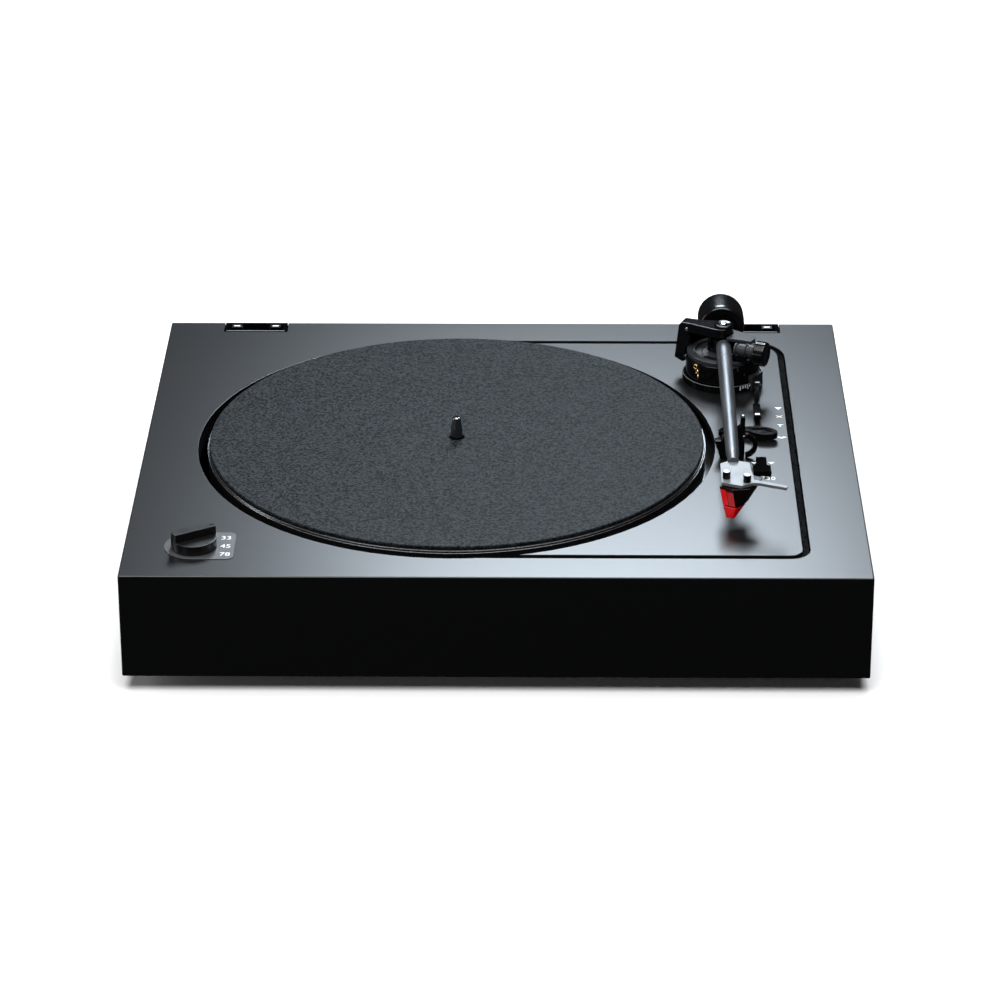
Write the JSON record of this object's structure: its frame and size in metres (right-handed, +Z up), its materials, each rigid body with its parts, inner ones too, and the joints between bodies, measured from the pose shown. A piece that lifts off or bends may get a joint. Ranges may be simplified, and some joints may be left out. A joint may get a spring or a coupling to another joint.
{
  "type": "turntable record player",
  "caption": "Free-standing belt-driven automatic record player: dark plinth, felt-covered platter, suspended arm board and gimbal tonearm with cartridge.",
  "frame": {"origin": "on the surface it stands on, under the middle of the plinth", "axes": "+X to the right along the front edge, +Y to the back, +Z up"},
  "size_m": [0.43, 0.365, 0.1119],
  "materials": {
    "plinth": "satin lacquer",
    "board": "satin",
    "black_plastic": "satin",
    "gloss_black": "gloss",
    "foam": "matte",
    "rubber": "matte",
    "steel": "zinc plated",
    "chrome": "polished",
    "aluminium": "cast and turned",
    "felt": "felted",
    "brass": "polished",
    "tube_grey": "satin anodised",
    "silver": "satin",
    "weight_black": "gloss lacquer",
    "cartridge_dark": "gloss",
    "stylus_red": "gloss",
    "circuit": "satin",
    "knob_black": "satin"
  },
  "bodies": {
    "base": {"plinth_shell": "plinth", "bottom_cover": "black_plastic", "foot_1": "rubber", "foot_2": "rubber", "foot_3": "rubber", "foot_4": "rubber", "hinge_socket_left": "black_plastic", "hinge_socket_right": "black_plastic", "label_plate": "silver", "rear_plate": "black_plastic", "output_jack_left": "brass", "output_jack_right": "brass", "ground_post": "chrome", "power_socket": "black_plastic", "arm_board": "board", "groove_seal": "foam", "sub_chassis": "steel", "standoff_1": "steel", "standoff_2": "steel", "standoff_3": "steel", "damper_1": "rubber", "damper_2": "rubber", "damper_3": "rubber", "bearing_housing": "brass", "drive_belt": "rubber", "motor": "steel", "motor_bracket": "steel", "control_board": "circuit", "speed_switch": "black_plastic", "arm_drum": "gloss_black", "drum_plate": "silver", "lift_bracket": "silver", "yoke": "gloss_black", "yoke_cap": "gloss_black", "arm_rest": "gloss_black"},
    "platter": {"sub_platter": "black_plastic", "platter": "aluminium", "slip_mat": "felt", "spindle": "chrome"},
    "pulley": {"motor_pulley": "brass"},
    "cam": {"cam_gear": "black_plastic"},
    "knob": {"speed_knob": "knob_black"},
    "antiskate": {"antiskate_ring": "gloss_black"},
    "gimbal": {"gimbal_frame": "gloss_black", "gimbal_wing": "silver", "dial_shaft": "steel"},
    "dial": {"force_dial": "gloss_black"},
    "arm": {"pivot_block": "gloss_black", "arm_tube": "tube_grey", "headshell": "silver", "headshell_screw_left": "chrome", "headshell_screw_right": "chrome", "cartridge_body": "cartridge_dark", "stylus_unit": "stylus_red"},
    "weight": {"counterweight": "weight_black"},
    "lift": {"lift_arc": "black_plastic"},
    "lever": {"lift_lever": "gloss_black"},
    "start": {"start_lever": "gloss_black"},
    "selector": {"size_selector": "black_plastic"},
    "latch": {"arm_latch": "black_plastic"}
  },
  "joints": [
    {"name": "platter_spin", "type": "hinge", "parent": "base", "child": "platter", "pos_m": [-0.0257, -0.0015, 0.06], "axis": [0, 0, 1], "continuous": true},
    {"name": "pulley_spin", "type": "hinge", "parent": "base", "child": "pulley", "pos_m": [-0.1037, 0.0765, 0.06], "axis": [0, 0, 1], "continuous": true},
    {"name": "cam_spin", "type": "hinge", "parent": "base", "child": "cam", "pos_m": [0.02418, 0.0273, 0.053], "axis": [0, 0, 1], "continuous": true},
    {"name": "knob_turn", "type": "hinge", "parent": "base", "child": "knob", "pos_m": [-0.1742, -0.145, 0.074], "axis": [0, 0, 1], "range_deg": [-62, 0]},
    {"name": "antiskate_turn", "type": "hinge", "parent": "base", "child": "antiskate", "pos_m": [0.1398, 0.096, 0.074], "axis": [0, 0, 1], "range_deg": [-40, 40]},
    {"name": "arm_swing", "type": "hinge", "parent": "base", "child": "gimbal", "pos_m": [0.1398, 0.096, 0.0985], "axis": [0, 0, 1], "range_deg": [-43, 0]},
    {"name": "arm_tilt", "type": "hinge", "parent": "gimbal", "child": "arm", "pos_m": [0.1398, 0.096, 0.0985], "axis": [-0.9272, 0.3746, 0], "range_deg": [0, 3]},
    {"name": "dial_turn", "type": "hinge", "parent": "gimbal", "child": "dial", "pos_m": [0.15871, 0.07606, 0.1], "axis": [0.9272, -0.3746, 0], "range_deg": [0, 270]},
    {"name": "weight_slide", "type": "slide", "parent": "arm", "child": "weight", "axis": [0.007, 1, 0], "range_m": [-0.001, 0.005]},
    {"name": "lift_rise", "type": "slide", "parent": "base", "child": "lift", "axis": [0, 0, 1], "range_m": [0, 0.0008]},
    {"name": "lever_turn", "type": "hinge", "parent": "base", "child": "lever", "pos_m": [0.1604, 0.074, 0.078], "axis": [-1, 0, 0], "range_deg": [0, 30]},
    {"name": "start_turn", "type": "hinge", "parent": "base", "child": "start", "pos_m": [0.138, 0.0083, 0.074], "axis": [0, 0, 1], "range_deg": [-8, 8]},
    {"name": "selector_slide", "type": "slide", "parent": "base", "child": "selector", "axis": [1, 0, 0], "range_m": [-0.0025, 0.0025]},
    {"name": "latch_turn", "type": "hinge", "parent": "base", "child": "latch", "pos_m": [0.1495, -0.022, 0.0889], "axis": [0, -1, 0], "range_deg": [0, 100]}
  ],
  "couplings": [
    {"joint": "pulley_spin", "follows": "platter_spin", "ratio": 8.8571},
    {"joint": "lift_rise", "follows": "arm_tilt", "m_per_rad": 0.0139},
    {"joint": "lever_turn", "follows": "arm_tilt", "ratio": 10}
  ]
}
